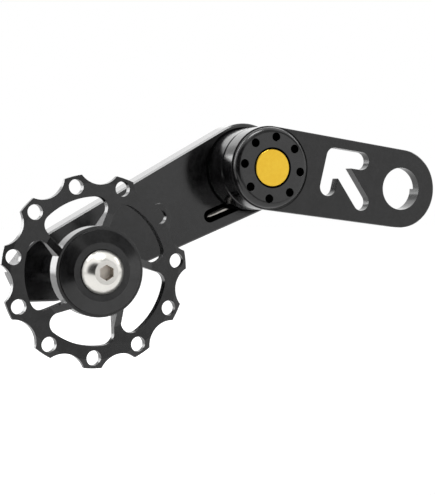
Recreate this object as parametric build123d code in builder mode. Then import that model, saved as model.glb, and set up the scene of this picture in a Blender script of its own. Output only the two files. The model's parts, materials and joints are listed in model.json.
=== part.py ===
"""Sprung single-pulley chain tensioner for a bicycle's derailleur hanger.

The origin is the centre of the hanger hole on the face that seats against the hanger.
+X runs along the mounting arm, away from the pulley, +Y points outboard and +Z points up.
"""
import os
from math import asin, atan2, cos, degrees, pi, radians, sin

from build123d import *

os.makedirs("parts", exist_ok=True)

# Chain and pulley wheel
chain_pitch = 12.7
roller_diameter = 7.75
tooth_count = 11
tip_radius = 21.0
gap_radius = 5.0
tooth_phase = 104.1
tooth_plate = 2.0
tooth_taper = 0.4
taper_length = 2.0
tooth_hole_diameter = 3.3
tooth_hole_inset = 2.3
spoke_count = 5
spoke_width = 1.6
spoke_angle = 75.3
spoke_sweep = -20.0
window_inner = 9.8
ring_width = 4.9
window_inner_fillet = 1.5
window_outer_fillet = 2.4
hub_lip = 0.15
hub_rim = 0.15
hub_cone_radius = 12.8
plate_setback = 0.9

# Pulley bearing and its covers
bearing_bore = 5.0
bearing_outside = 13.0
bearing_width = 4.0
inner_ring_land = 7.4
outer_ring_land = 10.6
ball_diameter = 2.0
ball_count = 8
ball_play = 0.1
cage_wall = 0.7
cage_width = 2.6
seal_thickness = 0.35
seal_inset = 0.1
seal_gap = 0.12
cover_gap = 0.2
cover_rim_radius = 9.1
cover_rim = 0.25
cover_face_radius = 6.3
cover_height = 1.25
cover_spigot_radius = 3.4

# Button head screws
screw_diameter = 5.0
screw_clearance = 0.1
thread_gap = 0.05
head_diameter = 9.5
head_height = 2.75
head_rim = 0.35
head_flat_radius = 2.6
hex_key = 3.0
hex_depth = 1.9
hex_turn = 30.0
pulley_bolt_length = 35.0
bolt_setback = 2.0
pivot_screw_length = 10.0

# Mounting arm
mount_length = 36.9
mount_angle = 172.5
mount_end_radius = 9.7
mount_thickness = 2.7
mount_edge = 0.25
hanger_hole_diameter = 10.5
lug_radius = 7.9
lug_height = 1.5
arrow_along = 17.1
arrow_up = 5.2
arrow_stroke = 4.4
arrow_barb = 7.6
arrow_shaft = 13.3
arrow_half_angle = 48.2

# Pivot barrel
barrel_radius = 10.0
barrel_bore_radius = 8.5
mount_barrel_depth = 5.5
barrel_edge = 0.3
barrel_root = 0.2
washer_thickness = 0.25
washer_inset = 0.3
side_gap = 0.05
running_gap = 0.03

# Pivot cap and axle
cap_height = 1.5
cap_radius = 9.7
cap_round = 1.5
cap_seat = 0.3
cap_seat_gap = 0.4
cap_spigot = 1.7
cap_fit = 0.03
pin_hole_count = 8
pin_hole_diameter = 2.1
pin_hole_circle = 7.4
pin_hole_depth = 1.5
pin_hole_phase = 82.8
axle_radius = 3.5
axle_head_radius = 4.45
axle_head_height = 1.4
axle_head_gap = 0.2
axle_head_edge = 0.15
bush_wall = 1.0
bush_flange_radius = 5.6
bush_flange = 0.8
bush_length = 5.0
rear_washer_radius = 7.0
rear_washer_thickness = 1.0

# Pulley arm
arm_length = 53.4
arm_angle = 205.5
arm_face = 14.0
arm_thickness = 6.5
arm_ledge = 1.3
arm_shoulder = 3.2
arm_tip_half_width = 7.65
arm_nose_length = 10.85
arm_nose_half_width = 3.95
arm_shoulder_fillet = 8.0
arm_nose_fillet = 2.0
arm_front_edge = 0.4
arm_rear_edge = 0.4
spacer_radius = 4.2
spacer_edge = 0.4

# Torsion spring and its slot
spring_radius = 7.2
spring_wire = 1.6
spring_turns = 5
spring_front_gap = 1.2
spring_tang = 1.8
tang_bend = 1.6
coil_start_angle = 92.8
spring_leg = 14.0
leg_turn = -3.5
slot_width = 3.2
slot_depth = 2.2
slot_reach = 13.0
exit_rise = 1.5
boss_radius = 5.6
boss_setback = 0.8

# Places that follow from the sizes above
pivot_x = mount_length * cos(radians(mount_angle))
pivot_z = mount_length * sin(radians(mount_angle))
pulley_x = pivot_x + arm_length * cos(radians(arm_angle))
pulley_z = pivot_z + arm_length * sin(radians(arm_angle))
pivot_axis = Axis((pivot_x, 0, pivot_z), (0, 1, 0))
pulley_axis = Axis((pulley_x, 0, pulley_z), (0, 1, 0))

pitch_radius = chain_pitch / 2 / sin(radians(180 / tooth_count))
root_radius = pitch_radius - roller_diameter / 2
taper_start = tip_radius - taper_length
tooth_hole_circle = tip_radius - tooth_hole_inset
window_outer = tip_radius - ring_width
corner_room = 0.4 * (window_outer - window_inner)
screw_radius = screw_diameter / 2
screw_hole_radius = screw_radius + screw_clearance
thread_radius = screw_radius - thread_gap

cap_spigot_end = cap_seat + cap_spigot
arm_pivot_radius = barrel_radius + arm_ledge
arm_rear = arm_face + arm_thickness
arm_barrel_front = mount_barrel_depth + washer_thickness + side_gap
bush_outer_radius = axle_radius + running_gap + bush_wall
bush_bore_radius = axle_radius + running_gap
axle_rear = arm_rear + bush_flange + side_gap
boss_front = arm_barrel_front + boss_setback + bush_flange
slot_floor = arm_face + slot_depth

# The wheel's place along the axle is set by the bolt's engagement in the arm.
hub_width = bearing_width + 2 * hub_lip
bolt_seat = arm_rear - bolt_setback - pulley_bolt_length
cover_front_inner = bolt_seat + cover_height
wheel_middle = cover_front_inner + cover_gap + hub_width / 2
cover_rear_inner = wheel_middle + hub_width / 2 + cover_gap
spacer_front = cover_rear_inner + cover_height


def facing(x, y, z, turn=0.0):
    """Plane at depth y that faces the viewer, its x axis turned by turn degrees from +X."""
    return Plane(origin=(x, y, z), x_dir=(cos(radians(turn)), 0, sin(radians(turn))), z_dir=(0, -1, 0))


def half_section(x, z):
    """Plane through an axis along Y: local x is the radius and local y the depth."""
    return Plane(origin=(x, 0, z))


def button_screw_outline(seat, way, length):
    """Half-section of a button head screw: depth seat is under the head, way is +1 for a shank to +Y."""
    top = seat - way * head_height
    rim = seat - way * head_rim
    tip = seat + way * length
    point = tip - way * screw_radius / 4
    with BuildLine() as outline:
        RadiusArc((head_diameter / 2, rim), (head_flat_radius, top), way * head_diameter * 0.55)
        Polyline(
            (head_flat_radius, top),
            (0, top),
            (0, tip),
            (thread_radius - screw_radius / 4, tip),
            (thread_radius, point),
            (thread_radius, seat),
            (head_diameter / 2, seat),
            (head_diameter / 2, rim),
        )
    make_face(outline.edges())


# Mounting arm: flat plate with hanger hole, arrow cut-out, cap seat and half of the spring barrel
with BuildPart() as mount_arm:
    with BuildSketch(facing(0, mount_thickness, 0)):
        Circle(mount_end_radius)
        with Locations((pivot_x, pivot_z)):
            Circle(barrel_radius)
        make_hull()
    extrude(amount=mount_thickness)
    plate_faces = mount_arm.faces().filter_by(Axis.Y)
    chamfer(plate_faces.edges(), length=mount_edge)
    with BuildSketch(facing(pivot_x, mount_barrel_depth, pivot_z)):
        Circle(barrel_radius)
    extrude(amount=mount_barrel_depth - mount_edge)
    barrel_end = mount_arm.faces().sort_by(Axis.Y)[-1]
    chamfer(barrel_end.edges(), length=barrel_edge)
    with BuildSketch(facing(pivot_x, cap_seat, pivot_z)):
        Circle(cap_radius + cap_seat_gap)
    extrude(amount=cap_seat, mode=Mode.SUBTRACT)
    with BuildSketch(facing(0, mount_thickness + lug_height, 0)):
        Circle(lug_radius)
        with Locations((0, lug_radius / 2)):
            Rectangle(2 * lug_radius, lug_radius, mode=Mode.SUBTRACT)
    extrude(amount=lug_height)
    with BuildSketch(facing(pivot_x, mount_barrel_depth, pivot_z)):
        Circle(barrel_bore_radius)
    extrude(amount=mount_barrel_depth, mode=Mode.SUBTRACT)
    with BuildSketch(facing(0, mount_thickness + lug_height, 0)):
        Circle(hanger_hole_diameter / 2)
    extrude(amount=mount_thickness + lug_height, mode=Mode.SUBTRACT)
    with BuildSketch(facing(pivot_x, mount_thickness, pivot_z, mount_angle - 180)):
        for turn, stroke_length in (
            (0, arrow_barb),
            (-2 * arrow_half_angle, arrow_barb),
            (-arrow_half_angle, arrow_shaft),
        ):
            along = arrow_along + stroke_length / 2 * cos(radians(turn))
            up = arrow_up + stroke_length / 2 * sin(radians(turn))
            with Locations((along, up)):
                SlotCenterToCenter(stroke_length, arrow_stroke, rotation=turn)
    extrude(amount=mount_thickness, mode=Mode.SUBTRACT)
mount_arm.part.label = "mount_arm"
export_step(mount_arm.part, "parts/mount_arm.step")

# Line of the spring's wire: the coil ends where its tangent runs along the arm's slot
leg_angle = arm_angle + leg_turn
leg_foot_angle = leg_angle + 90
foot_x = pivot_x + spring_radius * cos(radians(leg_foot_angle))
foot_z = pivot_z + spring_radius * sin(radians(leg_foot_angle))
leg_way = (cos(radians(leg_angle)), 0, sin(radians(leg_angle)))
coil_front = cap_spigot_end + spring_front_gap + spring_wire / 2
coil_turns = spring_turns + ((coil_start_angle - leg_foot_angle) % 360) / 360
coil_run = coil_turns * 2 * pi * spring_radius
wire_rise = slot_floor - spring_wire / 2 - side_gap - coil_front
coil_height = wire_rise * coil_run / (coil_run + spring_leg)
coil_origin = (pivot_x, coil_front, pivot_z)
coil_zero = Plane(origin=coil_origin, z_dir=(0, 1, 0)).x_dir
coil_zero_angle = degrees(atan2(coil_zero.Z, coil_zero.X))
with BuildLine() as coil:
    Helix(
        pitch=coil_height / coil_turns,
        height=coil_height,
        radius=spring_radius,
        center=coil_origin,
        direction=(0, 1, 0),
    )
coil_path = coil.line.rotate(pivot_axis, coil_zero_angle - coil_start_angle)
coil_way = coil_path % 0
bend_plane = Plane(origin=coil_path @ 0, x_dir=-coil_way, z_dir=coil_way.cross(Vector(0, 1, 0)))
bend_axis = Axis(coil_path @ 0 + bend_plane.y_dir * tang_bend, bend_plane.z_dir)
bend_arc = 90 - degrees(asin(coil_way.Y))
with BuildLine(bend_plane) as bend_line:
    JernArc((0, 0), (1, 0), tang_bend, bend_arc)
tang_root = bend_line.line @ 1

# Pivot cap: flanged plug in the barrel with blind holes for a pin spanner
with BuildPart() as pivot_cap:
    with BuildSketch(half_section(pivot_x, pivot_z)):
        Polygon(
            (axle_radius + cap_fit, axle_head_height - cap_height),
            (axle_head_radius + axle_head_gap, axle_head_height - cap_height),
            (axle_head_radius + axle_head_gap, -cap_height),
            (cap_radius, -cap_height),
            (cap_radius, cap_seat),
            (barrel_bore_radius - cap_fit, cap_seat),
            (barrel_bore_radius - cap_fit, cap_spigot_end),
            (axle_radius + cap_fit, cap_spigot_end),
            align=None,
        )
    revolve(axis=pivot_axis)
    cap_rim = pivot_cap.faces().sort_by(Axis.Y)[0].edges().sort_by(SortBy.RADIUS)[-1]
    fillet(cap_rim, cap_round)
    with BuildSketch(facing(pivot_x, -cap_height, pivot_z)):
        with PolarLocations(pin_hole_circle, pin_hole_count, start_angle=pin_hole_phase):
            Circle(pin_hole_diameter / 2)
    extrude(amount=-pin_hole_depth, mode=Mode.SUBTRACT)
    with BuildSketch(facing(tang_root.X, cap_spigot_end, tang_root.Z)):
        Circle(spring_wire / 2 + thread_gap)
    extrude(amount=cap_spigot - cap_fit, mode=Mode.SUBTRACT)
pivot_cap.part.label = "pivot_cap"
export_step(pivot_cap.part, "parts/pivot_cap.step")

# Pivot axle: turned pin with a flat head that shows in the cap and a tapped rear end
with BuildPart() as pivot_axle:
    with BuildSketch(half_section(pivot_x, pivot_z)):
        Polygon(
            (0, -cap_height),
            (axle_head_radius - axle_head_edge, -cap_height),
            (axle_head_radius, axle_head_edge - cap_height),
            (axle_head_radius, axle_head_height - cap_height),
            (axle_radius, axle_head_height - cap_height),
            (axle_radius, axle_rear),
            (screw_radius, axle_rear),
            (screw_radius, axle_rear - pivot_screw_length - 1),
            (0, axle_rear - pivot_screw_length - 1 - screw_radius / 2),
            align=None,
        )
    revolve(axis=pivot_axis)
pivot_axle.part.label = "pivot_axle"
export_step(pivot_axle.part, "parts/pivot_axle.step")

# Thrust washer between the two halves of the barrel
with BuildPart() as thrust_washer:
    with BuildSketch(facing(pivot_x, mount_barrel_depth + washer_thickness, pivot_z)):
        Circle(barrel_radius - washer_inset)
        Circle(barrel_bore_radius + thread_gap, mode=Mode.SUBTRACT)
    extrude(amount=washer_thickness)
thrust_washer.part.label = "thrust_washer"
export_step(thrust_washer.part, "parts/thrust_washer.step")

# Rear washer and screw that keep the pulley arm on the axle
with BuildPart() as pivot_washer:
    with BuildSketch(facing(pivot_x, axle_rear + rear_washer_thickness, pivot_z)):
        Circle(rear_washer_radius)
        Circle(screw_hole_radius, mode=Mode.SUBTRACT)
    extrude(amount=rear_washer_thickness)
    washer_rim = pivot_washer.faces().sort_by(Axis.Y)[-1].edges().sort_by(SortBy.RADIUS)[-1]
    chamfer(washer_rim, length=rear_washer_thickness / 4)
pivot_washer.part.label = "pivot_washer"
export_step(pivot_washer.part, "parts/pivot_washer.step")

pivot_screw_seat = axle_rear + rear_washer_thickness
with BuildPart() as pivot_screw:
    with BuildSketch(half_section(pivot_x, pivot_z)):
        button_screw_outline(pivot_screw_seat, -1, pivot_screw_length)
    revolve(axis=pivot_axis)
    with BuildSketch(facing(pivot_x, pivot_screw_seat + head_height, pivot_z)):
        RegularPolygon(hex_key / 2, 6, major_radius=False, rotation=hex_turn)
    extrude(amount=hex_depth, mode=Mode.SUBTRACT)
pivot_screw.part.label = "pivot_screw"
export_step(pivot_screw.part, "parts/pivot_screw.step")

# Pulley arm: tapered plate with a blunt nose, the other half of the barrel and the spring's slot
shoulder_place = arm_length + arm_shoulder
with BuildPart() as pulley_arm:
    with BuildSketch(facing(pivot_x, arm_rear, pivot_z, arm_angle)) as arm_outline:
        Circle(arm_pivot_radius)
        with BuildLine():
            Polyline(
                (shoulder_place, arm_tip_half_width),
                (arm_length + arm_nose_length, arm_nose_half_width),
                (arm_length + arm_nose_length, -arm_nose_half_width),
                (shoulder_place, -arm_tip_half_width),
                close=True,
            )
        make_face()
        make_hull()
        corners = arm_outline.vertices().group_by(Axis.X)
        fillet(corners[-1], arm_nose_fillet)
        shoulders = arm_outline.vertices().filter_by_position(
            Axis.X, shoulder_place - thread_gap, shoulder_place + thread_gap
        )
        fillet(shoulders, arm_shoulder_fillet)
    extrude(amount=arm_thickness)
    chamfer(pulley_arm.faces().sort_by(Axis.Y)[0].edges(), length=arm_front_edge)
    chamfer(pulley_arm.faces().sort_by(Axis.Y)[-1].edges(), length=arm_rear_edge)
    with BuildSketch(facing(pivot_x, arm_face, pivot_z)):
        Circle(barrel_radius)
    extrude(amount=arm_face - arm_barrel_front)
    barrel_root_edge = pulley_arm.edges().filter_by(GeomType.CIRCLE).filter_by_position(
        Axis.Y, arm_face - thread_gap, arm_face + thread_gap
    )
    fillet(barrel_root_edge.sort_by(SortBy.LENGTH)[-1], barrel_root)
    chamfer(pulley_arm.faces().sort_by(Axis.Y)[0].edges(), length=barrel_edge)
    with BuildSketch(facing(pivot_x, slot_floor, pivot_z)):
        Circle(barrel_bore_radius)
        Circle(boss_radius, mode=Mode.SUBTRACT)
    extrude(amount=slot_floor - arm_barrel_front, mode=Mode.SUBTRACT)
    with BuildSketch(facing(pivot_x, boss_front, pivot_z)):
        Circle(boss_radius)
    extrude(amount=boss_front - arm_barrel_front, mode=Mode.SUBTRACT)
    with BuildSketch(facing(foot_x, slot_floor, foot_z, leg_angle)):
        with Locations((slot_reach / 2, 0)):
            SlotCenterToCenter(slot_reach, slot_width)
    extrude(amount=slot_depth, mode=Mode.SUBTRACT)
    with BuildSketch(Plane(origin=(foot_x, arm_face - exit_rise, foot_z), z_dir=leg_way)):
        Circle(slot_width / 2)
    extrude(amount=slot_reach - slot_width, mode=Mode.SUBTRACT)
    with BuildSketch(facing(pivot_x, arm_rear, pivot_z)):
        Circle(bush_outer_radius)
    extrude(amount=arm_rear - arm_barrel_front, mode=Mode.SUBTRACT)
    with BuildSketch(facing(pulley_x, arm_rear, pulley_z)):
        Circle(screw_radius)
    extrude(amount=arm_thickness, mode=Mode.SUBTRACT)
pulley_arm.part.label = "pulley_arm"
export_step(pulley_arm.part, "parts/pulley_arm.step")

# Flanged bushes, one from each end of the arm's boss
with BuildPart() as front_bush:
    with BuildSketch(half_section(pivot_x, pivot_z)):
        Polygon(
            (bush_bore_radius, boss_front - bush_flange),
            (bush_flange_radius, boss_front - bush_flange),
            (bush_flange_radius, boss_front),
            (bush_outer_radius, boss_front),
            (bush_outer_radius, boss_front + bush_length),
            (bush_bore_radius, boss_front + bush_length),
            align=None,
        )
    revolve(axis=pivot_axis)
front_bush.part.label = "front_bush"
export_step(front_bush.part, "parts/front_bush.step")

with BuildPart() as rear_bush:
    with BuildSketch(half_section(pivot_x, pivot_z)):
        Polygon(
            (bush_bore_radius, arm_rear - bush_length),
            (bush_outer_radius, arm_rear - bush_length),
            (bush_outer_radius, arm_rear),
            (bush_flange_radius, arm_rear),
            (bush_flange_radius, arm_rear + bush_flange),
            (bush_bore_radius, arm_rear + bush_flange),
            align=None,
        )
    revolve(axis=pivot_axis)
rear_bush.part.label = "rear_bush"
export_step(rear_bush.part, "parts/rear_bush.step")

# Torsion spring: a bent tang in the cap, a right-hand coil in the barrel and a leg along the arm's slot
with BuildPart() as torsion_spring:
    with BuildSketch(Plane(origin=coil_path @ 0, z_dir=-coil_way)):
        Circle(spring_wire / 2)
    revolve(axis=bend_axis, revolution_arc=bend_arc)
    with BuildSketch(facing(tang_root.X, tang_root.Y, tang_root.Z)):
        Circle(spring_wire / 2)
    extrude(amount=spring_tang)
    with BuildSketch(Plane(origin=coil_path @ 0, z_dir=coil_way)):
        Circle(spring_wire / 2)
    sweep(path=coil_path, is_frenet=True)
    with BuildSketch(Plane(origin=coil_path @ 1, z_dir=coil_path % 1)):
        Circle(spring_wire / 2)
    extrude(amount=spring_leg)
torsion_spring.part.label = "torsion_spring"
export_step(torsion_spring.part, "parts/torsion_spring.step")

# Spacer tube that carries the wheel in front of the arm
with BuildPart() as pulley_spacer:
    with BuildSketch(facing(pulley_x, arm_face, pulley_z)):
        Circle(spacer_radius)
        Circle(screw_hole_radius, mode=Mode.SUBTRACT)
    extrude(amount=arm_face - spacer_front)
    spacer_rims = pulley_spacer.edges().filter_by(GeomType.CIRCLE).group_by(SortBy.RADIUS)[-1]
    chamfer(spacer_rims.sort_by(Axis.Y)[0], length=spacer_edge)
pulley_spacer.part.label = "pulley_spacer"
export_step(pulley_spacer.part, "parts/pulley_spacer.step")

# Pulley bolt
with BuildPart() as pulley_bolt:
    with BuildSketch(half_section(pulley_x, pulley_z)):
        button_screw_outline(bolt_seat, 1, pulley_bolt_length)
    revolve(axis=pulley_axis)
    with BuildSketch(facing(pulley_x, bolt_seat - head_height, pulley_z)):
        RegularPolygon(hex_key / 2, 6, major_radius=False, rotation=hex_turn)
    extrude(amount=-hex_depth, mode=Mode.SUBTRACT)
pulley_bolt.part.label = "pulley_bolt"
export_step(pulley_bolt.part, "parts/pulley_bolt.step")


def cover_outline(inner, way):
    """Half-section of a coned dust cover whose rim lies at depth inner; way is +1 for a cone towards +Y."""
    face = inner + way * cover_height
    spigot = inner - way * (cover_gap + (hub_width - bearing_width) / 2)
    Polygon(
        (screw_hole_radius, face),
        (cover_face_radius, face),
        (cover_rim_radius, inner + way * cover_rim),
        (cover_rim_radius, inner),
        (cover_spigot_radius, inner),
        (cover_spigot_radius, spigot),
        (screw_hole_radius, spigot),
        align=None,
    )


# Dust covers, which clamp the bearing's inner ring
with BuildPart() as front_dust_cover:
    with BuildSketch(half_section(pulley_x, pulley_z)):
        cover_outline(cover_front_inner, -1)
    revolve(axis=pulley_axis)
front_dust_cover.part.label = "front_dust_cover"
export_step(front_dust_cover.part, "parts/front_dust_cover.step")

with BuildPart() as rear_dust_cover:
    with BuildSketch(half_section(pulley_x, pulley_z)):
        cover_outline(cover_rear_inner, 1)
    revolve(axis=pulley_axis)
rear_dust_cover.part.label = "rear_dust_cover"
export_step(rear_dust_cover.part, "parts/rear_dust_cover.step")

# Ball bearing
ball_circle = (inner_ring_land + outer_ring_land) / 4
groove_radius = ball_diameter / 2 + ball_play
with BuildPart() as bearing_inner_ring:
    with BuildSketch(half_section(pulley_x, pulley_z)):
        with Locations(((bearing_bore + inner_ring_land) / 4, wheel_middle)):
            Rectangle((inner_ring_land - bearing_bore) / 2, bearing_width)
        with Locations((ball_circle, wheel_middle)):
            Circle(groove_radius, mode=Mode.SUBTRACT)
    revolve(axis=pulley_axis)
bearing_inner_ring.part.label = "bearing_inner_ring"
export_step(bearing_inner_ring.part, "parts/bearing_inner_ring.step")

with BuildPart() as bearing_outer_ring:
    with BuildSketch(half_section(pulley_x, pulley_z)):
        with Locations(((bearing_outside + outer_ring_land) / 4, wheel_middle)):
            Rectangle((bearing_outside - outer_ring_land) / 2, bearing_width)
        with Locations((ball_circle, wheel_middle)):
            Circle(groove_radius, mode=Mode.SUBTRACT)
    revolve(axis=pulley_axis)
bearing_outer_ring.part.label = "bearing_outer_ring"
export_step(bearing_outer_ring.part, "parts/bearing_outer_ring.step")

with BuildPart(facing(pulley_x, wheel_middle, pulley_z)) as bearing_balls:
    with PolarLocations(ball_circle, ball_count):
        Sphere(ball_diameter / 2)
bearing_balls.part.label = "bearing_balls"
export_step(bearing_balls.part, "parts/bearing_balls.step")

with BuildPart(facing(pulley_x, wheel_middle, pulley_z)) as bearing_cage:
    with BuildSketch(facing(pulley_x, wheel_middle, pulley_z)):
        Circle(ball_circle + cage_wall / 2)
        Circle(ball_circle - cage_wall / 2, mode=Mode.SUBTRACT)
    extrude(amount=cage_width / 2, both=True)
    with PolarLocations(ball_circle, ball_count):
        Cylinder(groove_radius, 2 * cage_wall, rotation=(0, 90, 0), mode=Mode.SUBTRACT)
bearing_cage.part.label = "bearing_cage"
export_step(bearing_cage.part, "parts/bearing_cage.step")


def seal_disc(near):
    """Flat sealing ring drawn from depth near, between the bearing's two lands."""
    with BuildSketch(facing(pulley_x, near + seal_thickness, pulley_z)) as ring:
        Circle(outer_ring_land / 2)
        Circle(inner_ring_land / 2 + seal_gap, mode=Mode.SUBTRACT)
    extrude(ring.sketch, amount=seal_thickness)


with BuildPart() as front_seal:
    seal_disc(wheel_middle - bearing_width / 2 + seal_inset)
front_seal.part.label = "front_seal"
export_step(front_seal.part, "parts/front_seal.step")

with BuildPart() as rear_seal:
    seal_disc(wheel_middle + bearing_width / 2 - seal_inset - seal_thickness)
rear_seal.part.label = "rear_seal"
export_step(rear_seal.part, "parts/rear_seal.step")

# Pulley wheel: tapered teeth with lightening holes, swept spokes that thicken to the hub, and a bored hub
hub_front = wheel_middle - hub_width / 2
hub_rear = wheel_middle + hub_width / 2
hub_face_radius = window_inner - hub_rim
wheel_front = wheel_middle + plate_setback - tooth_plate / 2
wheel_rear = wheel_front + tooth_plate
taper_end = tip_radius + 1
taper_end_depth = tooth_taper * (taper_end - taper_start) / (tip_radius - taper_start)
with BuildPart() as pulley_wheel:
    with BuildSketch(facing(pulley_x, wheel_rear, pulley_z)):
        Circle(tip_radius)
        gap_phase = tooth_phase + 180 / tooth_count
        with PolarLocations(root_radius + gap_radius, tooth_count, start_angle=gap_phase):
            Circle(gap_radius, mode=Mode.SUBTRACT)
        with PolarLocations(tooth_hole_circle, tooth_count, start_angle=tooth_phase):
            Circle(tooth_hole_diameter / 2, mode=Mode.SUBTRACT)
    extrude(amount=tooth_plate)
    with BuildSketch(half_section(pulley_x, pulley_z)):
        for face, inward in ((wheel_front, 1), (wheel_rear, -1)):
            Polygon(
                (taper_start, face),
                (taper_end, face + inward * taper_end_depth),
                (taper_end, face - inward),
                (taper_start, face - inward),
                align=None,
            )
    revolve(axis=pulley_axis, mode=Mode.SUBTRACT)
    with BuildSketch(half_section(pulley_x, pulley_z)):
        Polygon(
            (bearing_outside / 2, hub_front),
            (hub_face_radius, hub_front),
            (hub_cone_radius, wheel_front),
            (hub_cone_radius, wheel_rear),
            (hub_face_radius, hub_rear),
            (bearing_outside / 2, hub_rear),
            align=None,
        )
    revolve(axis=pulley_axis)
    with BuildSketch(facing(pulley_x, hub_rear + plate_setback, pulley_z)) as windows:
        Circle(window_outer)
        Circle(window_inner, mode=Mode.SUBTRACT)
        spoke_middle = (window_inner + window_outer) / 2
        spoke_reach = 2 * (window_outer - window_inner)
        with PolarLocations(spoke_middle, spoke_count, start_angle=spoke_angle):
            Rectangle(spoke_reach, spoke_width, rotation=spoke_sweep, mode=Mode.SUBTRACT)
        inner_corners = windows.vertices().filter_by(lambda v: v.center().length < spoke_middle)
        outer_corners = windows.vertices().filter_by(lambda v: v.center().length > spoke_middle)
        fillet(outer_corners, min(window_outer_fillet, corner_room))
        fillet(inner_corners, min(window_inner_fillet, corner_room))
    extrude(amount=hub_width + 2 * plate_setback, mode=Mode.SUBTRACT)
    with BuildSketch(facing(pulley_x, hub_rear, pulley_z)):
        Circle(bearing_outside / 2)
    extrude(amount=hub_width, mode=Mode.SUBTRACT)
pulley_wheel.part.label = "pulley_wheel"
export_step(pulley_wheel.part, "parts/pulley_wheel.step")
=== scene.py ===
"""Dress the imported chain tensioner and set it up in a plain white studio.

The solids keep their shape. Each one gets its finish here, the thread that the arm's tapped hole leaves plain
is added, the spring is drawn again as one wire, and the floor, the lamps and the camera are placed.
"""

import json
import logging
from dataclasses import dataclass, field
from enum import Enum
from math import cos, pi, radians, sin
from typing import Any, Optional, Protocol, Sequence, Union

import bmesh
import bpy
import numpy as np
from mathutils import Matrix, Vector


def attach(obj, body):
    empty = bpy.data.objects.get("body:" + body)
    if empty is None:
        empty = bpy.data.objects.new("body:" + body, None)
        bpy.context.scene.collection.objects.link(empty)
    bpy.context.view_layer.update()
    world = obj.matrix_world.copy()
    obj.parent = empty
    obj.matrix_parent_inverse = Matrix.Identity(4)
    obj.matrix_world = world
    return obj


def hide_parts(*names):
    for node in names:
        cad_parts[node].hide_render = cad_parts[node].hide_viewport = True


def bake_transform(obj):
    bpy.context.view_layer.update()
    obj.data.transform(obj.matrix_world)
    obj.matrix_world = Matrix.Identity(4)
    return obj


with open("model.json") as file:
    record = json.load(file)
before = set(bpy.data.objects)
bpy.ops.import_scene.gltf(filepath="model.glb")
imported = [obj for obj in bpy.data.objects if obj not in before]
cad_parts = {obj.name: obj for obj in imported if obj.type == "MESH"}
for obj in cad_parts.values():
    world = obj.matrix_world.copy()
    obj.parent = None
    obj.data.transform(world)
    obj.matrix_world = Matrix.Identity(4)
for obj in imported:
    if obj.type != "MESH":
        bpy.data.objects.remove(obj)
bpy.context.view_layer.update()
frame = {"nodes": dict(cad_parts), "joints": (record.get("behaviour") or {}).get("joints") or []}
LOG = logging.getLogger("chain_tensioner")

MM = 0.001
Colour = tuple[float, float, float]
Number = Union[int, float]
WHITE = (1.0, 1.0, 1.0)
NO_LIGHT = (0.0, 0.0, 0.0)
BLACK = (0.0098, 0.0098, 0.0103)
BLACK_DEEP = (0.0006, 0.0006, 0.0007)
# Near-black shader mixed in as painted shade in sunk places and at the edges round heads.
PAINTED_SHADE = (0.0012, 0.0012, 0.0013)
PAINTED_SHADE_ROUGHNESS = 0.9
PAINTED_SHADE_IOR = 1.1
BEVEL_SAMPLES = 6


class Lay(Enum):
    """How a tool has left its marks on a face."""

    TURNED = "turned"
    MILLED = "milled"


class Term:
    """One shader socket that can be used in Python arithmetic."""

    def __init__(self, shade: "Shade", socket: bpy.types.NodeSocket) -> None:
        """Keep the socket and the tree that it belongs to."""
        self.shade = shade
        self.socket = socket

    def _math(self, operation: str, *values: Any) -> "Term":
        """Add one Math node.

        Args:
            operation: the Math node's operation.
            values: its values or terms, in the node's order.

        Returns:
            The node's result.
        """
        return self.shade.node("ShaderNodeMath", {"operation": operation}, dict(enumerate(values)))[0]

    def __add__(self, other: Any) -> "Term":
        """Sum."""
        return self._math("ADD", self, other)

    def __radd__(self, other: Any) -> "Term":
        """Sum with a number on the left."""
        return self._math("ADD", other, self)

    def __sub__(self, other: Any) -> "Term":
        """Difference."""
        return self._math("SUBTRACT", self, other)

    def __rsub__(self, other: Any) -> "Term":
        """Difference from a number on the left."""
        return self._math("SUBTRACT", other, self)

    def __mul__(self, other: Any) -> "Term":
        """Product."""
        return self._math("MULTIPLY", self, other)

    def __rmul__(self, other: Any) -> "Term":
        """Product with a number on the left."""
        return self._math("MULTIPLY", other, self)

    def __truediv__(self, other: Any) -> "Term":
        """Quotient."""
        return self._math("DIVIDE", self, other)

    def __rtruediv__(self, other: Any) -> "Term":
        """Quotient with a number on the left."""
        return self._math("DIVIDE", other, self)

    def clamped(self, low: Number = 0.0, high: Number = 1.0) -> "Term":
        """Limit the value to low and high."""
        return self._math("MINIMUM", self.larger(low), high)

    def larger(self, other: Any) -> "Term":
        """The larger of this and another value."""
        return self._math("MAXIMUM", self, other)

    def power(self, exponent: Number) -> "Term":
        """Raise the value to an exponent."""
        return self._math("POWER", self, exponent)

    def size(self) -> "Term":
        """The value without its sign."""
        return self._math("ABSOLUTE", self)

    def length_with(self, other: "Term") -> "Term":
        """Length of the flat vector made of this and another value."""
        return (self * self + other * other).power(0.5)

    def angle_over(self, other: "Term") -> "Term":
        """Angle of the flat vector whose second part is this value and whose first part is the other."""
        return self._math("ARCTAN2", self, other)

    def wrapped(self, half: Number) -> "Term":
        """Bring the value into the span from minus half to half by whole steps."""
        return self._math("WRAP", self, half, -half)

    def sine(self) -> "Term":
        """Sine of the value in radians."""
        return self._math("SINE", self)

    def cosine(self) -> "Term":
        """Cosine of the value in radians."""
        return self._math("COSINE", self)


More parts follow.
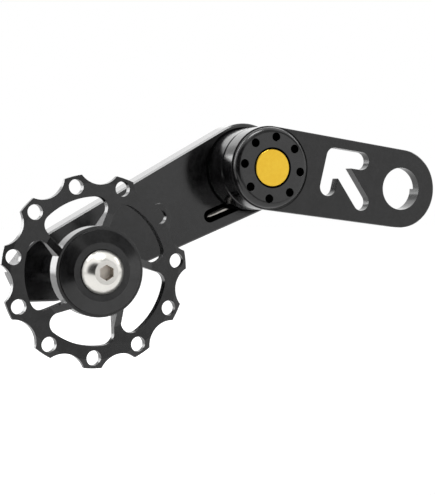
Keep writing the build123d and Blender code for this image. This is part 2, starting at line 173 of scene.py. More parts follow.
class Shade:
    """The node tree of a material or of the world, written as expressions."""

    def __init__(self, owner: Union[bpy.types.Material, bpy.types.World]) -> None:
        """Empty the owner's tree and give it an output node.

        Args:
            owner: the material or the world.
        """
        kind = "World" if isinstance(owner, bpy.types.World) else "Material"
        self.owner = owner
        owner.use_nodes = True
        self.tree = owner.node_tree
        self.tree.nodes.clear()
        self.output = self.tree.nodes.new("ShaderNodeOutput" + kind)

    def node(
        self,
        kind: str,
        settings: Optional[dict[str, Any]] = None,
        inputs: Optional[dict[Union[int, str], Any]] = None,
    ) -> list[Term]:
        """Add a node.

        Args:
            kind: the node's type.
            settings: properties to set first.
            inputs: socket name or number to a value or a term.

        Returns:
            The node's outputs as terms.
        """
        made = self.tree.nodes.new(kind)
        for key, value in (settings or {}).items():
            setattr(made, key, value)
        for key, value in (inputs or {}).items():
            if isinstance(value, Term):
                self.tree.links.new(value.socket, made.inputs[key])
            else:
                made.inputs[key].default_value = value
        return [Term(self, out) for out in made.outputs]

    def place(self, centre: Sequence[float] = (0.0, 0.0, 0.0), turn: float = 0.0) -> Term:
        """Object coordinates in millimetres, centred on a point and turned about Y.

        Args:
            centre: the point that becomes zero, in metres.
            turn: angle about Y, in degrees, that is taken out.

        Returns:
            The coordinates as a vector term.
        """
        coordinates = self.node("ShaderNodeTexCoord")[3]
        moved = self.node("ShaderNodeVectorMath", {"operation": "SUBTRACT"}, {0: coordinates, 1: tuple(centre)})[0]
        return self.node(
            "ShaderNodeMapping",
            {"vector_type": "POINT"},
            {"Vector": moved, "Rotation": (0.0, radians(turn), 0.0), "Scale": (1.0 / MM,) * 3},
        )[0]

    def parts(self, vector: Term) -> list[Term]:
        """Split a vector into its three values."""
        return self.node("ShaderNodeSeparateXYZ", None, {0: vector})

    def vector(self, x: Any, y: Any, z: Any) -> Term:
        """Join three values into a vector."""
        return self.node("ShaderNodeCombineXYZ", None, {0: x, 1: y, 2: z})[0]

    def noise(self, where: Term, scale: float, detail: float = 2.0, roughness: float = 0.5) -> Term:
        """Noise between 0 and 1.

        Args:
            where: place as a vector term.
            scale: waves per unit of that place.
            detail: number of finer layers.
            roughness: strength of the finer layers.

        Returns:
            The noise value.
        """
        values = {"Vector": where, "Scale": scale, "Detail": detail, "Roughness": roughness}
        return self.node("ShaderNodeTexNoise", {"noise_dimensions": "3D"}, values)[0]

    def soft_step(self, value: Term, low: float, high: float) -> Term:
        """Rise smoothly from 0 at low to 1 at high."""
        limits = {"Value": value, "From Min": low, "From Max": high}
        return self.node("ShaderNodeMapRange", {"interpolation_type": "SMOOTHSTEP"}, limits)[0]

    def above(self, value: Term, limit: float, fade: float) -> Term:
        """0 up to a limit and 1 from a fade's width above it."""
        return self.soft_step(value, limit, limit + fade)

    def below(self, value: Term, limit: float, fade: float) -> Term:
        """1 up to a limit and 0 from a fade's width above it."""
        return 1.0 - self.above(value, limit, fade)

    def blend(self, share: Term, first: Any, second: Any) -> Term:
        """Mix two colours.

        Args:
            share: 0 for the first and 1 for the second.
            first: colour or term.
            second: colour or term.

        Returns:
            The mixed colour.
        """
        ends = [value if isinstance(value, Term) else (*value, 1.0) for value in (first, second)]
        return self.node("ShaderNodeMix", {"data_type": "RGBA"}, {0: share, 6: ends[0], 7: ends[1]})[2]

    def bump(self, height: Term, distance: float, strength: float, normal: Term) -> Term:
        """Turn a height into a normal.

        Args:
            height: height term, 0 to 1.
            distance: depth of a height of 1, in metres.
            strength: share of the effect.
            normal: normal to start from.

        Returns:
            The bumped normal.
        """
        values = {"Height": height, "Distance": distance, "Strength": strength, "Normal": normal}
        return self.node("ShaderNodeBump", None, values)[0]

    def eased_normal(self, radius: float) -> Term:
        """Normal that rounds over a sharp edge within a radius, in metres."""
        return self.node("ShaderNodeBevel", {"samples": BEVEL_SAMPLES}, {"Radius": radius})[0]

    def seen(self) -> Term:
        """1 for rays from the camera, off gloss and through glass, and 0 for all others."""
        rays = self.node("ShaderNodeLightPath")
        return (rays[0] + rays[3] + rays[6]).clamped()

    def shader(self, values: dict[str, Any]) -> Term:
        """Add a Principled shader from socket names and values or terms."""
        return self.node("ShaderNodeBsdfPrincipled", None, values)[0]

    def mixed(self, share: Term, first: Term, second: Term) -> Term:
        """Mix two shaders, 0 for the first and 1 for the second."""
        return self.node("ShaderNodeMixShader", None, {0: share, 1: first, 2: second})[0]

    def with_painted_shade(self, finish: Term, painted_shade_places: "Sequence[PaintedShadePlace]", centre: Sequence[float]) -> Term:
        """Paint shade over a finish: mix it towards a near-black shader wherever a mask marks a shaded place.

        Args:
            finish: shader where no shade is painted.
            painted_shade_places: the sunk places.
            centre: point that they are measured from, in metres.

        Returns:
            The mixed shader.
        """
        dark = {"Base Color": (*PAINTED_SHADE, 1.0), "Roughness": PAINTED_SHADE_ROUGHNESS, "IOR": PAINTED_SHADE_IOR}
        for shaded_place in painted_shade_places:
            painted_shade_shader = self.shader(dark)
            finish = self.mixed(shaded_place.mask(self, self.place(centre)), finish, painted_shade_shader)
        return finish

    def close(self, shader: Term) -> Any:
        """Join a shader to the output and hand back the tree's owner."""
        self.tree.links.new(shader.socket, self.output.inputs["Surface"])
        return self.owner


class PaintedShadePlace(Protocol):
    """A place on a piece that light hardly reaches, painted dark as shade."""

    def mask(self, shade: Shade, where: Term) -> Term:
        """1 where shade is painted and 0 elsewhere, from a place in millimetres."""


@dataclass(frozen=True)
class PinHoles:
    """Ring of blind holes for a pin spanner round a head's pocket, sunk in a face that looks to -Y, painted dark as
    shade together with the pocket and a thin ring of the face round it.
    """

    pocket_rim: float = 4.82
    count: int = 8
    circle: float = 7.4
    radius: float = 1.05
    phase: float = 82.8
    face: float = -1.5
    edge: float = 0.02
    hole_fade: float = 0.06
    depth_fade: float = 0.1
    rim_fade: float = 0.08

    def mask(self, shade: Shade, where: Term) -> Term:
        """1 in the holes, the pocket and a thin ring of the flat face round the pocket, all painted shade; the ring
        stands for a dark eased edge that the solid lacks.

        The angle is brought into one hole's sector, where the distance to that hole's axis counts.

        Args:
            shade: tree to add to.
            where: place in millimetres from the pocket's axis.

        Returns:
            The share of darkness.
        """
        x, y, z = shade.parts(where)
        radius = x.length_with(z)
        sector = (z.angle_over(x) - radians(self.phase)).wrapped(pi / self.count)
        away = (radius * sector.cosine() - self.circle).length_with(radius * sector.sine())
        # Painted shade in the holes, and below it in the pocket and on a ring of the flat face round it.
        hole = shade.below(away, self.radius + self.edge, self.hole_fade)
        sunk = hole * shade.above(y, self.face + self.edge, self.depth_fade)
        return sunk.larger(shade.below(radius, self.pocket_rim, self.rim_fade))


@dataclass(frozen=True)
class HeadGap:
    """Narrow gap round a head that is sunk level with the face about it, where the head's side is painted dark as
    shade.
    """

    face: float = -1.5
    drop: float = 0.16
    fade: float = 0.14

    def mask(self, shade: Shade, where: Term) -> Term:
        """1 from a little below the face downwards, where the head is painted dark as shade."""
        return shade.above(shade.parts(where)[1], self.face + self.drop, self.fade)


@dataclass(frozen=True)
class SeatGap:
    """Shadow line round a head that sits on a flat face looking to -Y."""

    radius: float = 4.75
    width: float = 0.1
    face: float = -16.5
    drop: float = 0.05
    fade: float = 0.1

    def mask(self, shade: Shade, where: Term) -> Term:
        """1 close round the head on the face that carries it.

        Args:
            shade: tree to add to.
            where: place in millimetres from the head's axis.

        Returns:
            The share of darkness.
        """
        x, y, z = shade.parts(where)
        close = shade.below(x.length_with(z), self.radius + self.width, self.fade)
        return close * shade.below(y, self.face + self.drop, self.fade)


@dataclass(frozen=True)
class ExitHole:
    """Mouth of the hole by which the spring's leg leaves the barrel; the wire is painted dark as shade inside the
    barrel and a little beyond.
    """

    radius: float = 10.6
    fade: float = 0.7

    def mask(self, shade: Shade, where: Term) -> Term:
        """1 inside the barrel and 0 from a little outside it, where the wire's painted shade ends.

        Args:
            shade: tree to add to.
            where: place in millimetres from the barrel's axis.

        Returns:
            The share of darkness.
        """
        x, _, z = shade.parts(where)
        return shade.below(x.length_with(z), self.radius, self.fade)


@dataclass(frozen=True)
class SpringSlot:
    """Round-ended slot for the spring's leg, milled into the arm's front face and painted dark as shade."""

    foot_angle: float = 292.0
    foot_radius: float = 7.2
    way: float = 202.0
    reach: float = 14.7
    half_width: float = 1.6
    face: float = 14.0
    floor: float = 16.2
    wall: float = 0.03
    wall_fade: float = 0.07
    foot_fade: float = 0.2
    drop: float = 0.05
    drop_fade: float = 0.25
    end_fade: float = 0.1

    def mask(self, shade: Shade, where: Term) -> Term:
        """1 between the slot's walls, below the face and down to its floor, where shade is painted.

        Args:
            shade: tree to add to.
            where: place in millimetres from the pivot's axis.

        Returns:
            The share of darkness.
        """
        x, y, z = shade.parts(where)
        x = x - self.foot_radius * cos(radians(self.foot_angle))
        z = z - self.foot_radius * sin(radians(self.foot_angle))
        along = x * cos(radians(self.way)) + z * sin(radians(self.way))
        across = z * cos(radians(self.way)) - x * sin(radians(self.way))
        beside = shade.below(across.size(), self.half_width + self.wall, self.wall_fade)
        started = shade.above(along, -self.foot_fade, self.foot_fade)
        within = started * shade.below(along, self.reach, self.end_fade)
        sunk = shade.above(y, self.face + self.drop, self.drop_fade)
        return beside * within * sunk * shade.below(y, self.floor + self.end_fade, self.end_fade)


@dataclass(frozen=True)
class BarrelRoot:
    """Inner corner between the spring barrel and the arm's front face, where each mirrors the other, painted dark as
    shade.
    """

    radius: float = 10.0
    width: float = 0.3
    face: float = 14.0
    fade: float = 0.1
    drop: float = 0.02
    drop_fade: float = 0.04

    def mask(self, shade: Shade, where: Term) -> Term:
        """1 in the corner's rounding, where shade is painted, and 0 on the flat face and on the barrel.

        Args:
            shade: tree to add to.
            where: place in millimetres from the barrel's axis.

        Returns:
            The share of darkness.
        """
        x, y, z = shade.parts(where)
        near = shade.below(x.length_with(z), self.radius + self.width, self.fade)
        low = shade.above(y, self.face - self.width, self.fade)
        return near * low * shade.below(y, self.face + self.drop, self.drop_fade)


@dataclass(frozen=True)
class Anodised:
    """Dyed anodised aluminium: a thin glassy oxide over a cut surface."""

    name: str
    colour: Colour
    deep_colour: Colour
    roughness: float
    spread: float = 0.06
    metallic: float = 0.0
    ior: float = 1.6
    lay: Lay = Lay.TURNED
    lay_pitch: float = 0.18
    lay_depth: float = 0.012
    lay_stretch: float = 0.04
    cloud_scale: float = 0.35
    speck_scale: float = 1.3
    grain_scale: float = 14.0
    tone_limits: tuple[float, float] = (0.36, 0.64)
    least_roughness: float = 0.05
    bump: float = 0.35
    edge: float = 0.12
    painted_shade_places: tuple[PaintedShadePlace, ...] = ()

    def material(self, centre: Sequence[float] = (0.0, 0.0, 0.0), turn: float = 0.0) -> bpy.types.Material:
        """Build the finish.

        Args:
            centre: middle of the turned marks, or any point of milled ones, in metres.
            turn: direction of milled marks about Y, in degrees.

        Returns:
            The finished material.
        """
        shade = Shade(bpy.data.materials.new(self.name))
        where = shade.place(centre, turn)
        cloud = shade.noise(where, self.cloud_scale, 3.0, 0.55)
        speck = shade.noise(where, self.speck_scale, 2.0, 0.6)
        grain = shade.noise(where, self.grain_scale, 2.0, 0.6)
        marks = self._marks(shade, where)
        uneven = (cloud - 0.5) + 0.35 * (grain - 0.5) + 0.5 * (marks - 0.5)
        rough = self.roughness + self.spread * uneven
        height = 0.25 * grain + 0.75 * marks
        normal = shade.bump(height, self.lay_depth * MM, self.bump, shade.eased_normal(self.edge * MM))
        tone = shade.soft_step(0.5 * cloud + 0.5 * speck, *self.tone_limits)
        finish = shade.shader(
            {
                "Base Color": shade.blend(tone, self.deep_colour, self.colour),
                "Metallic": self.metallic,
                "Roughness": rough.clamped(self.least_roughness),
                "IOR": self.ior,
                "Normal": normal,
            }
        )
        # Painted shade: the finish goes near black in each listed place.
        return shade.close(shade.with_painted_shade(finish, self.painted_shade_places, centre))

    def _marks(self, shade: Shade, where: Term) -> Term:
        """Fine tool marks: rings round Y where turned, lines along X where milled.

        Args:
            shade: tree to add to.
            where: place in millimetres.

        Returns:
            Mark height, 0 to 1.
        """
        x, _, z = shade.parts(where)
        if self.lay is Lay.TURNED:
            line = shade.vector(x.length_with(z) / self.lay_pitch, 0.0, 0.0)
        else:
            line = shade.vector(x * self.lay_stretch, 0.0, z / self.lay_pitch)
        return shade.noise(line, 1.0, 1.0, 0.4)


@dataclass(frozen=True)
class Steel:
    """Bare steel or bronze, turned, drawn or ground, with a duller key socket where the piece has one."""

    name: str
    colour: Colour
    roughness: float
    grain_scale: float = 9.0
    ring_scale: float = 5.0
    stain_scale: float = 0.6
    stain_level: float = 0.86
    stain_spread: float = 0.06
    ring_spread: float = 0.05
    grain_spread: float = 0.04
    least_roughness: float = 0.04
    bump: float = 0.4
    bump_depth: float = 0.003
    edge: float = 0.08
    socket_depths: Optional[tuple[float, float]] = None
    socket_radius: float = 1.85
    socket_colour: Colour = (0.66, 0.61, 0.55)
    socket_roughness: float = 0.5
    depth_fade: float = 0.08
    radius_fade: float = 0.05
    painted_shade_places: tuple[PaintedShadePlace, ...] = ()

    def material(self, centre: Sequence[float] = (0.0, 0.0, 0.0)) -> bpy.types.Material:
        """Build the finish.

        Args:
            centre: middle of the turned marks, in metres.

        Returns:
            The finished material.
        """
        shade = Shade(bpy.data.materials.new(self.name))
        where = shade.place(centre)
        x, y, z = shade.parts(where)
        radius = x.length_with(z)
        rings = shade.noise(shade.vector(radius * self.ring_scale, 0.0, 0.0), 1.0, 1.0)
        stain = shade.noise(where, self.stain_scale, 3.0)
        grain = shade.noise(where, self.grain_scale, 2.0)
        rough = self.roughness + self.stain_spread * (stain - 0.5) + self.ring_spread * (rings - 0.5)
        rough = rough + self.grain_spread * (grain - 0.5)
        dark = tuple(self.stain_level * channel for channel in self.colour)
        colour = shade.blend((0.6 * stain + 0.4 * rings).clamped(), dark, self.colour)
        if self.socket_depths is not None:
            low, high = self.socket_depths
            sunk = shade.above(y, low, self.depth_fade) * shade.below(y, high, self.depth_fade)
            socket = sunk * shade.below(radius, self.socket_radius, self.radius_fade)
            colour = shade.blend(socket, colour, self.socket_colour)
            rough = rough + (self.socket_roughness - self.roughness) * socket
        eased = shade.eased_normal(self.edge * MM)
        values = {
            "Base Color": colour,
            "Metallic": 1.0,
            "Roughness": rough.clamped(self.least_roughness),
            "Normal": shade.bump(0.5 * grain + 0.5 * rings, self.bump_depth * MM, self.bump, eased),
        }
        # Painted shade: the finish goes near black in each listed place.
        return shade.close(shade.with_painted_shade(shade.shader(values), self.painted_shade_places, centre))


@dataclass(frozen=True)
class Moulded:
    """Moulded nylon or rubber with a fine matt skin."""

    name: str
    colour: Colour
    roughness: float
    spread: float = 0.12
    least_roughness: float = 0.1
    skin_scale: float = 8.0
    skin_depth: float = 0.01
    bump: float = 0.4
    tint_scale: float = 0.8
    tint_gain: float = 1.5
    tint_lift: float = 0.004
    edge: float = 0.05

    def material(self) -> bpy.types.Material:
        """Build the finish.

        Returns:
            The finished material.
        """
        shade = Shade(bpy.data.materials.new(self.name))
        where = shade.place()
        skin = shade.noise(where, self.skin_scale, 3.0, 0.6)
        tint = shade.noise(where, self.tint_scale, 2.0)
        pale = tuple(self.tint_gain * channel + self.tint_lift for channel in self.colour)
        rough = self.roughness + self.spread * (skin - 0.5)
        values = {
            "Base Color": shade.blend(tint, self.colour, pale),
            "Roughness": rough.clamped(self.least_roughness),
            "Normal": shade.bump(skin, self.skin_depth * MM, self.bump, shade.eased_normal(self.edge * MM)),
        }
        return shade.close(shade.shader(values))


def grid_faces(rows: int, columns: int, close_columns: bool) -> np.ndarray:
    """Quads of a grid of points, row by row.

    Args:
        rows: points along the path.
        columns: points across it.
        close_columns: whether the last column joins the first.

    Returns:
        Array of four point numbers per face.
    """
    across = np.arange(columns if close_columns else columns - 1)
    i, j = np.meshgrid(np.arange(rows - 1), across, indexing="ij")
    following = (j + 1) % columns
    corners = [i * columns + j, i * columns + following, (i + 1) * columns + following, (i + 1) * columns + j]
    return np.stack(corners, -1).reshape(-1, 4)


def tube_faces(rows: int, columns: int) -> list[Sequence[int]]:
    """Faces of a grid of points that closes into a tube, with one more face over each end.

    Args:
        rows: points along the tube.
        columns: points round it.

    Returns:
        Point numbers of each face, the two ends last.
    """
    ends = [range(columns), range(columns * (rows - 1), columns * rows)]
    return [*grid_faces(rows, columns, True), *ends]


def mesh_piece(
    name: str,
    points: np.ndarray,
    faces: Sequence[Sequence[int]],
    smooth: bool = True,
) -> bpy.types.Object:
    """Make an object from points in metres and faces.

    Args:
        name: the piece's name.
        points: array of points, its last axis their coordinates.
        faces: point numbers of each face.
        smooth: whether its faces are shaded as one.

    Returns:
        The linked object.
    """
    mesh = bpy.data.meshes.new(name)
    mesh.from_pydata(points.reshape(-1, 3).tolist(), [], [list(map(int, face)) for face in faces])
    mesh.polygons.foreach_set("use_smooth", np.full(len(mesh.polygons), smooth))
    mesh.update()
    piece = bpy.data.objects.new(name, mesh)
    bpy.context.scene.collection.objects.link(piece)
    return piece


def face_outwards(piece: bpy.types.Object) -> None:
    """Turn a closed piece's faces outwards.

    Args:
        piece: the object whose mesh is changed.
    """
    work = bmesh.new()
    work.from_mesh(piece.data)
    bmesh.ops.recalc_face_normals(work, faces=work.faces)
    work.to_mesh(piece.data)
    work.free()


def dress(material: bpy.types.Material, *names: str) -> None:
    """Give solids by name one material.

    Args:
        material: the finish.
        names: the nodes that wear it.
    """
    for name in names:
        solid = frame["nodes"][name]
        solid.data.materials.clear()
        solid.data.materials.append(material)
        LOG.info("dressed %s in %s", name, material.name)


def axis_of(joint_name: str) -> Vector:
    """Point at zero depth on a joint's axis, in metres.

    Args:
        joint_name: the joint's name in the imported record.

    Returns:
        The point as a vector.
    """
    place = next(joint["pos_m"] for joint in frame["joints"] if joint["name"] == joint_name)
    return Vector((place[0], 0.0, place[2]))


@dataclass
class MountGroup:
    """Hanger arm, pivot cap and the axle with its rear screw."""

    pivot: Vector = field(default_factory=lambda: axis_of("arm_swing"))
    plate_turn: float = -7.5
    plate: Anodised = Anodised("hanger_arm_black", BLACK, BLACK_DEEP, 0.18, ior=1.52, lay=Lay.MILLED)
    # The cap's pin holes, its pocket and a ring of face round the pocket carry painted shade.
    cap: Anodised = Anodised("pivot_cap_black", BLACK, BLACK_DEEP, 0.2, ior=1.63, painted_shade_places=(PinHoles(),))
    # The axle's head is painted dark as shade below its face, in the gap round it.
    gold: Anodised = Anodised(
        "axle_gold",
        (1.0, 0.65, 0.066),
        (0.96, 0.60, 0.055),
        0.34,
        metallic=1.0,
        ior=1.5,
        painted_shade_places=(HeadGap(),),
    )
    screw: Steel = Steel("pivot_screw_steel", (0.66, 0.64, 0.61), 0.2, socket_depths=(22.9, 25.05))
    washer: Steel = Steel("pivot_washer_steel", (0.6, 0.59, 0.57), 0.3)
    nylon: Moulded = Moulded("thrust_washer_nylon", (0.012, 0.012, 0.012), 0.55)

    def build(self) -> None:
        """Give the group's solids their finishes."""
        dress(self.plate.material(self.pivot, self.plate_turn), "mount_arm")
        dress(self.cap.material(self.pivot), "pivot_cap")
        dress(self.gold.material(self.pivot), "pivot_axle")
        dress(self.screw.material(self.pivot), "pivot_screw")
        dress(self.washer.material(self.pivot), "pivot_washer")
        dress(self.nylon.material(), "thrust_washer")


@dataclass
class SwingGroup:
    """Pulley arm with its bushes, spacer, covers and bolt."""

    pivot: Vector = field(default_factory=lambda: axis_of("arm_swing"))
    pulley: Vector = field(default_factory=lambda: axis_of("pulley_spin"))
    arm_turn: float = 25.5
    thread_span: tuple[float, float] = (19.0, 20.1)
    thread_root: float = 2.5
    thread_crest: float = 2.1
    thread_pitch: float = 0.8
    thread_profile: tuple[float, ...] = (-0.42, -0.08, 0.08, 0.42)
    thread_overlap: float = 0.02
    thread_start: float = 0.03
    rows_per_radian: float = 12.0
    # The arm carries painted shade in the spring's slot and in the corner at the barrel's root.
    arm: Anodised = Anodised(
        "pulley_arm_black",
        BLACK,
        BLACK_DEEP,
        0.16,
        lay=Lay.MILLED,
        edge=0.05,
        painted_shade_places=(SpringSlot(), BarrelRoot()),
    )
    cover: Anodised = Anodised("dust_cover_black", BLACK, BLACK_DEEP, 0.2, painted_shade_places=(SeatGap(),))
    bolt: Steel = Steel("pulley_bolt_steel", (0.94, 0.92, 0.87), 0.23, socket_depths=(-19.2, -17.2))
    bronze: Steel = Steel("bush_bronze", (0.52, 0.33, 0.14), 0.42)
    ring: Steel = Steel("bearing_inner_steel", (0.6, 0.6, 0.61), 0.16)
    cut: Steel = Steel("tapped_thread_metal", (0.5, 0.5, 0.5), 0.35)

    def build(self) -> None:
        """Give the group's solids their finishes and cut the tapped hole's thread."""
        dress(self.arm.material(self.pivot, self.arm_turn), "pulley_arm")
        dress(self.cover.material(self.pulley), "front_dust_cover", "rear_dust_cover", "pulley_spacer")
        dress(self.bolt.material(self.pulley), "pulley_bolt")
        dress(self.bronze.material(self.pivot), "front_bush", "rear_bush")
        dress(self.ring.material(self.pulley), "bearing_inner_ring")
        self._thread()

    def _thread(self) -> None:
        """Wind the ridge of the tapped hole's thread behind the bolt's tip."""
        points = self._ridge()
        ridge = mesh_piece("tapped_thread", points, tube_faces(*points.shape[:2]), smooth=False)
        face_outwards(ridge)
        ridge.data.materials.append(self.cut.material(self.pulley))
        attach(ridge, "swing_arm")
        LOG.info("made %s", ridge.name)

    def _ridge(self) -> np.ndarray:
        """Points of the thread's ridge, wound along Y inside the hole.

        At a turn of t radians the ridge's middle lies pitch times t over 2 pi beyond the span's start. Four profile
        points stand round that middle, at the profile's shares of the pitch: two feet just outside the hole's root
        radius and two points at the crest radius. The ridge rises from nothing and runs out again within a quarter
        turn of each end.

        Returns:
            Array of rows, four profile points and coordinates, in metres.
        """
        start, end = self.thread_span
        whole = 2.0 * pi * (end - start) / self.thread_pitch
        turn = np.linspace(0.0, whole, int(whole * self.rows_per_radian))[:, None]
        rise = np.clip(np.minimum(turn, whole - turn) / (pi / 2.0), self.thread_start, 1.0)
        foot = np.full_like(turn, self.thread_root + self.thread_overlap)
        top = self.thread_root - rise * (self.thread_root - self.thread_crest)
        radius = np.hstack([foot, top, top, foot])
        depth = start + self.thread_pitch * (turn / (2.0 * pi) + np.array(self.thread_profile))
        points = np.stack([radius * np.cos(turn), depth, radius * np.sin(turn)], -1) * MM
        return points + np.array(self.pulley)


@dataclass
class SpringGroup:
    """Torsion spring, drawn as one wire: a tang in the cap, a coil in the barrel, a leg in the slot."""

    pivot: Vector = field(default_factory=lambda: axis_of("arm_swing"))
    coil_radius: float = 7.2
    wire_radius: float = 0.8
    start_angle: float = 92.8
    foot_angle: float = 292.0
    whole_turns: int = 5
    front: float = 4.0
    rise: float = 11.35
    tang: float = 1.8
    bend: float = 1.6
    leg: float = 14.0
    leg_room: float = 1.0
    rows_per_turn: int = 48
    bend_rows: int = 10
    columns: int = 16
    # The wire is painted dark as shade inside the barrel and at the mouth of its exit hole.
    steel: Steel = Steel("spring_wire_steel", (0.45, 0.43, 0.4), 0.13, painted_shade_places=(ExitHole(),))

    def build(self) -> None:
        """Draw the wire in its place and hide the imported spring.

        The wire is a circle carried along its middle line, square to it, with a flat face over each end.
        """
        material = self.steel.material(self.pivot)
        dress(material, "torsion_spring")
        middle, across, upright = self._line()
        around = np.linspace(0.0, 2.0 * pi, self.columns, endpoint=False)[:, None]
        ring = np.cos(around) * across[:, None] + np.sin(around) * upright[:, None]
        points = (middle[:, None] + self.wire_radius * ring) * MM + np.array(self.pivot)
        spring = mesh_piece("wound_spring", points, tube_faces(*points.shape[:2]))
        for end in spring.data.polygons[-2:]:
            end.use_smooth = False
        face_outwards(spring)
        spring.data.materials.append(material)
        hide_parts("torsion_spring")
        carried = self.pivot + Vector((0.0, (self._foot_depth() - self.leg_room) * MM, 0.0))
        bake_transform(spring)
        LOG.info("made %s", spring.name)

    def _turn(self) -> float:
        """Angle that the coil runs through, in radians."""
        return 2.0 * pi * (self.whole_turns + (self.start_angle - self.foot_angle) % 360.0 / 360.0)

    def _foot_depth(self) -> float:
        """Depth at which the coil passes into the leg, in millimetres."""
        run = self._turn() * self.coil_radius
        return self.front + self.rise * run / (run + self.leg)

    def _line(self) -> tuple[np.ndarray, np.ndarray, np.ndarray]:
        """Middle line of the wire and two unit vectors across it.

        The coil's angle round the pivot falls evenly from the start angle while its depth grows evenly. In front of
        it an arc bends its tangent round to Y, and the tang goes straight on from there. Behind it the leg goes
        straight on along the last tangent. One vector across the wire points away from the pivot's axis, as it does
        at the coil's near end on the straight parts, and the other is square to it and to the line.

        Returns:
            Points in millimetres from the pivot's axis, vectors away from that axis, and vectors square to both.
        """
        whole = self._turn()
        height = self._foot_depth() - self.front
        slope = np.arctan2(height, whole * self.coil_radius)
        step = np.linspace(0.0, 1.0, int(whole / (2.0 * pi) * self.rows_per_turn))
        angle = radians(self.start_angle) - whole * step
        flat = np.zeros_like(angle)
        away = np.stack([np.cos(angle), flat, np.sin(angle)], -1)
        forward = np.stack([np.sin(angle), flat, -np.cos(angle)], -1)
        axis = np.array([0.0, 1.0, 0.0])
        tangent = forward * np.cos(slope) + axis * np.sin(slope)
        coil = self.coil_radius * away + (self.front + height * step)[:, None] * axis

        back = -tangent[0]
        inward = np.cross(back, away[0])
        inward = inward * -np.sign(inward[1])
        bent = np.linspace(pi / 2.0 - slope, 0.0, self.bend_rows)[:, None]
        arc = coil[0] + self.bend * (np.sin(bent) * back + (1.0 - np.cos(bent)) * inward)
        arc_tangent = -(np.cos(bent) * back + np.sin(bent) * inward)
        tip = arc[:1] - self.tang * arc_tangent[:1]
        leg_end = coil[-1:] + self.leg * tangent[-1:]

        middle = np.concatenate([tip, arc[:-1], coil, leg_end])
        way = np.concatenate([arc_tangent[:1], arc_tangent[:-1], tangent, tangent[-1:]])
        across = np.concatenate([np.repeat(away[:1], len(arc), 0), away, away[-1:]])
        return middle, across, np.cross(way, across)


@dataclass
class PulleyGroup:
    """Toothed wheel and the turning parts of its bearing."""

    pulley: Vector = field(default_factory=lambda: axis_of("pulley_spin"))
    wheel: Anodised = Anodised("pulley_wheel_black", BLACK, BLACK_DEEP, 0.25, ior=1.62)
    ring: Steel = Steel("bearing_outer_steel", (0.6, 0.6, 0.61), 0.16)
    cage: Moulded = Moulded("ball_cage_nylon", (0.012, 0.012, 0.012), 0.5)
    seal: Moulded = Moulded("bearing_seal_rubber", (0.01, 0.01, 0.01), 0.65)

    def build(self) -> None:
        """Give the group's solids their finishes."""
        dress(self.wheel.material(self.pulley), "pulley_wheel")
        dress(self.ring.material(self.pulley), "bearing_outer_ring", "bearing_balls")
        dress(self.cage.material(), "bearing_cage")
        dress(self.seal.material(), "front_seal", "rear_seal")


@dataclass(frozen=True)
class SoftBox:
    """One area lamp that looks at the object."""

    name: str
    place: tuple[float, float, float]
    width: float
    height: float
    power: float

    def light(self, target: Vector) -> None:
        """Make the lamp.

        Args:
            target: point that it faces.
        """
        lamp = bpy.data.lights.new(self.name, "AREA")
        lamp.shape = "RECTANGLE"
        lamp.size = self.width
        lamp.size_y = self.height
        lamp.energy = self.power
        made = bpy.data.objects.new(self.name, lamp)
        made.location = self.place
        made.rotation_euler = (target - Vector(self.place)).to_track_quat("-Z", "Y").to_euler()
        made.visible_camera = False
        bpy.context.scene.collection.objects.link(made)


@dataclass(frozen=True)
class DimPatch:
    """Round part of the room that gives little light, by its direction from the object."""

    azimuth: float
    elevation: float
    half_angle: float
    fade: float
    level: float

    def share(self, shade: Shade, way: Term) -> Term:
        """Light left in each direction, from level inside the patch to 1 outside it.

        Args:
            shade: the world's tree.
            way: direction as a vector term.

        Returns:
            The share of light.
        """
        flat = cos(radians(self.elevation))
        middle = (
            flat * sin(radians(self.azimuth)),
            -flat * cos(radians(self.azimuth)),
            sin(radians(self.elevation)),
        )
        near = shade.node("ShaderNodeVectorMath", {"operation": "DOT_PRODUCT"}, {0: way, 1: middle})[1]
        inside = shade.soft_step(near, cos(radians(self.half_angle + self.fade)), cos(radians(self.half_angle)))
        return 1.0 - (1.0 - self.level) * inside


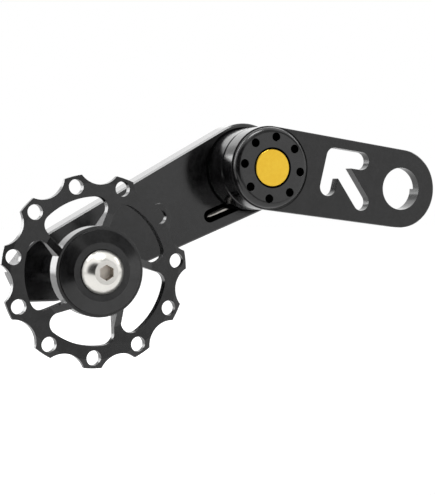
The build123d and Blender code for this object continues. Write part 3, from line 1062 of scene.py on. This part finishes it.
@dataclass
class Studio:
    """White floor, soft lamps, pale room and the photograph's camera."""

    target: Vector = field(default_factory=lambda: Vector((-0.048, 0.0, -0.011)))
    floor_height: float = -0.1
    floor_side: float = 4.0
    floor_front: float = -0.3
    floor_lift: float = 0.6
    floor_near: float = 0.08
    floor_fade: tuple[float, float] = (120.0, 350.0)
    floor_grey: Colour = (0.86, 0.86, 0.86)
    floor_pale: Colour = (0.88, 0.88, 0.88)
    floor_speck: float = 0.05
    floor_roughness: float = 0.9
    floor_points: int = 9
    room_light: float = 0.55
    camera_place: tuple[float, float, float] = (-0.18156, -0.28655, -0.00299)
    camera_azimuth: float = -24.608
    camera_elevation: float = 1.991
    camera_lens: float = 97.89
    camera_sensor: float = 36.0
    camera_near: float = 0.01
    lamps: tuple[SoftBox, ...] = (
        SoftBox("top", (-0.1, -0.1, 0.65), 0.3, 0.2, 1.6),
        SoftBox("right", (0.6, 0.2, 0.33), 0.25, 0.25, 0.45),
        SoftBox("left", (-0.6, 0.24, 0.42), 0.14, 0.8, 1.8),
        SoftBox("back_left", (-0.3, 0.7, 0.07), 0.22, 0.28, 0.75),
        SoftBox("back_top", (0.15, 0.6, 0.35), 0.7, 0.5, 0.9),
    )
    patches: tuple[DimPatch, ...] = (
        DimPatch(-42.0, 6.0, 32.0, 12.0, 0.03),
        DimPatch(54.0, 24.0, 10.0, 8.0, 0.2),
        DimPatch(20.0, 42.0, 16.0, 12.0, 0.35),
        DimPatch(15.0, -24.0, 14.0, 12.0, 0.2),
    )

    def build(self) -> None:
        """Make the floor, the room, the lamps and the camera."""
        self._floor()
        self._room()
        for lamp in self.lamps:
            lamp.light(self.target)
            LOG.info("lit %s", lamp.name)
        self._camera()
        bpy.context.scene.view_settings.view_transform = "Standard"

    def _floor(self) -> None:
        """Lay a pale floor, a flat grid, that turns white where nothing shades it.

        The camera sees it lifted, little under the object, so that its shadow stays, and more further out, where
        the lamps fall off.
        """
        side = np.linspace(-self.floor_side, self.floor_side, self.floor_points)
        depth = np.linspace(self.floor_front, self.floor_side, self.floor_points)
        x, y = np.meshgrid(side, depth, indexing="ij")
        points = np.stack([x, y, np.full_like(x, self.floor_height)], -1)
        floor = mesh_piece("studio_floor", points, grid_faces(*x.shape, False)[:, ::-1])
        shade = Shade(bpy.data.materials.new("studio_floor_white"))
        speck = shade.noise(shade.place(), self.floor_speck, 2.0)
        base = shade.blend(speck, self.floor_grey, self.floor_pale)
        camera = shade.node("ShaderNodeLightPath")[0]
        out_x, out_y, _ = shade.parts(shade.place((self.target.x, self.target.y, 0.0)))
        far = shade.soft_step(out_x.length_with(out_y), *self.floor_fade)
        lift = shade.blend(far, (self.floor_near,) * 3, WHITE)
        matt = {"Base Color": base, "Roughness": self.floor_roughness}
        plain = shade.shader(matt)
        lifted = shade.shader({**matt, "Emission Color": lift, "Emission Strength": self.floor_lift})
        floor.data.materials.append(shade.close(shade.mixed(camera, plain, lifted)))
        LOG.info("laid %s", floor.name)

    def _room(self) -> None:
        """Set a pale room that the camera sees as white, and gloss too, apart from its dim patches."""
        world = bpy.data.worlds.new("studio_room")
        bpy.context.scene.world = world
        shade = Shade(world)
        way = shade.node("ShaderNodeTexCoord")[0]
        share: Any = 1.0
        for patch in self.patches:
            share = share * patch.share(shade, way)
        level = share.larger(shade.node("ShaderNodeLightPath")[0])
        colour = shade.blend(level, NO_LIGHT, WHITE)
        shown = shade.node("ShaderNodeBackground", None, {"Color": colour, "Strength": 1.0})[0]
        lit = shade.node("ShaderNodeBackground", None, {"Color": (*WHITE, 1.0), "Strength": self.room_light})[0]
        shade.close(shade.mixed(shade.seen(), lit, shown))

    def _camera(self) -> None:
        """Put the camera where the photograph was taken from."""
        data = bpy.data.cameras.new("photo_camera")
        data.lens = self.camera_lens
        data.sensor_width = self.camera_sensor
        data.clip_start = self.camera_near
        camera = bpy.data.objects.new("photo_camera", data)
        camera.location = self.camera_place
        camera.rotation_euler = (radians(90.0 - self.camera_elevation), 0.0, radians(self.camera_azimuth))
        bpy.context.scene.collection.objects.link(camera)
        bpy.context.scene.camera = camera


def main() -> None:
    """Dress each group and build the studio."""
    logging.basicConfig(level=logging.INFO, format="%(name)s: %(message)s")
    for group in (MountGroup(), SwingGroup(), SpringGroup(), PulleyGroup(), Studio()):
        group.build()


if __name__ == "__main__":
    main()
